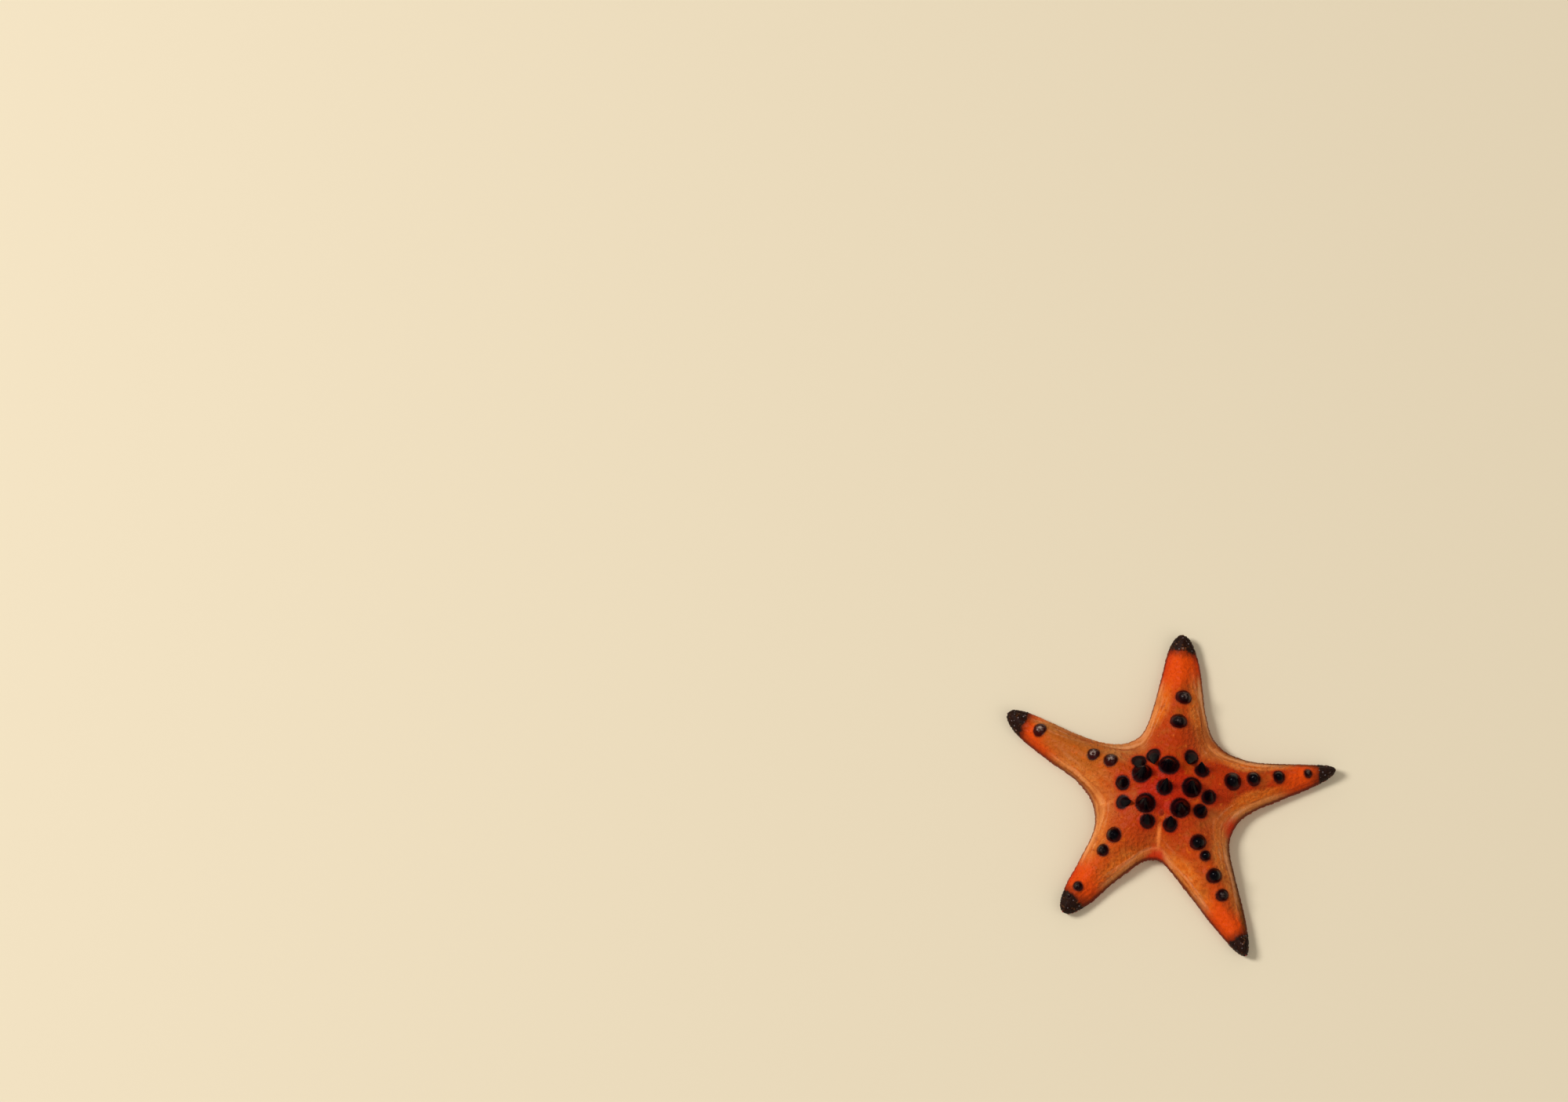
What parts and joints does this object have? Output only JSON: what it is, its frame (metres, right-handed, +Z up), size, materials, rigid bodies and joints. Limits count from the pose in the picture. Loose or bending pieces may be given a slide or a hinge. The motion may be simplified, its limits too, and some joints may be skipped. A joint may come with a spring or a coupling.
{
  "type": "horned sea star",
  "caption": "Horned sea star lying mouth down: a domed disc, tapering arms, black conical horns, a tucked-in margin and a flat sole with feeding grooves.",
  "frame": {"origin": "on the floor, under the middle of the animal's outline box", "axes": "+Z up, away from the floor; +Y along the far arm, roughly; +X along the right arm, roughly"},
  "size_m": [0.234, 0.2342, 0.0458],
  "materials": {
    "skin": "granular, damp, satin",
    "horn": "smooth, satin, damp",
    "tube_feet": "soft, translucent, damp",
    "mouth": "soft, damp",
    "eyespot": "glossy",
    "madreporite": "finely grooved, matt"
  },
  "bodies": {
    "root": {"disc": "skin", "arm_right": "skin", "arm_far": "skin", "arm_left": "skin", "arm_near_left": "skin", "arm_near_right": "skin", "tube_feet_right": "tube_feet", "tube_feet_far": "tube_feet", "tube_feet_left": "tube_feet", "tube_feet_near_left": "tube_feet", "tube_feet_near_right": "tube_feet", "eyespot_right": "eyespot", "eyespot_far": "eyespot", "eyespot_left": "eyespot", "eyespot_near_left": "eyespot", "eyespot_near_right": "eyespot", "madreporite": "madreporite", "mouth": "mouth"}
  },
  "joints": []
}
